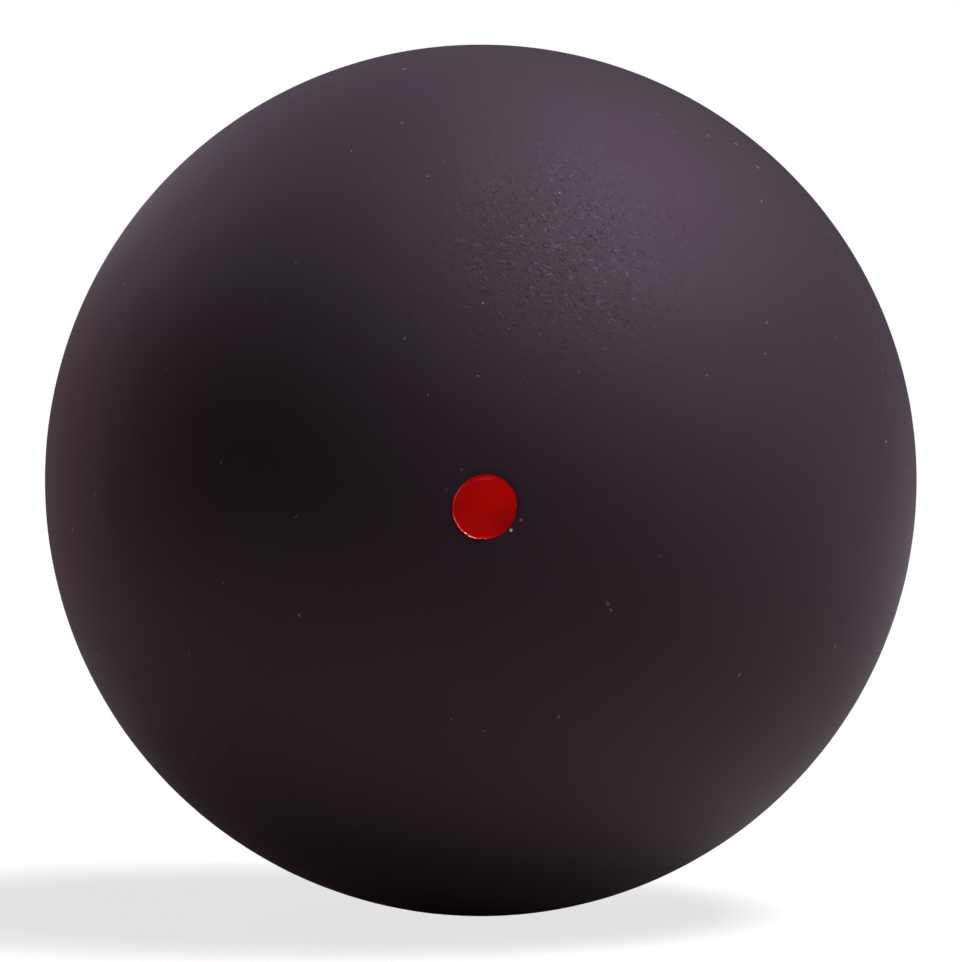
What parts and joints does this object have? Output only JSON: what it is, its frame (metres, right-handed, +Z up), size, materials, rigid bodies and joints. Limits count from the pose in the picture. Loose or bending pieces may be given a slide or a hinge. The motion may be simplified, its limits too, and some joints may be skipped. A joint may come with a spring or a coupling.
{
  "type": "squash ball",
  "caption": "Hollow matt black rubber ball for squash, built as cemented half shells with a red dot set in a shallow pocket.",
  "frame": {"origin": "centre of the ball", "axes": "+Z up; the dot faces -Y, +Y runs through the middle of the plain half, and the seam between the halves lies in the XZ plane"},
  "size_m": [0.04, 0.0399, 0.04],
  "materials": {
    "shell_rubber": "matte",
    "cement": "matte",
    "dot_paint": "satin"
  },
  "bodies": {
    "root": {"front_half_shell": "shell_rubber", "rear_half_shell": "shell_rubber", "seam_cement": "cement", "red_dot": "dot_paint"}
  },
  "joints": []
}
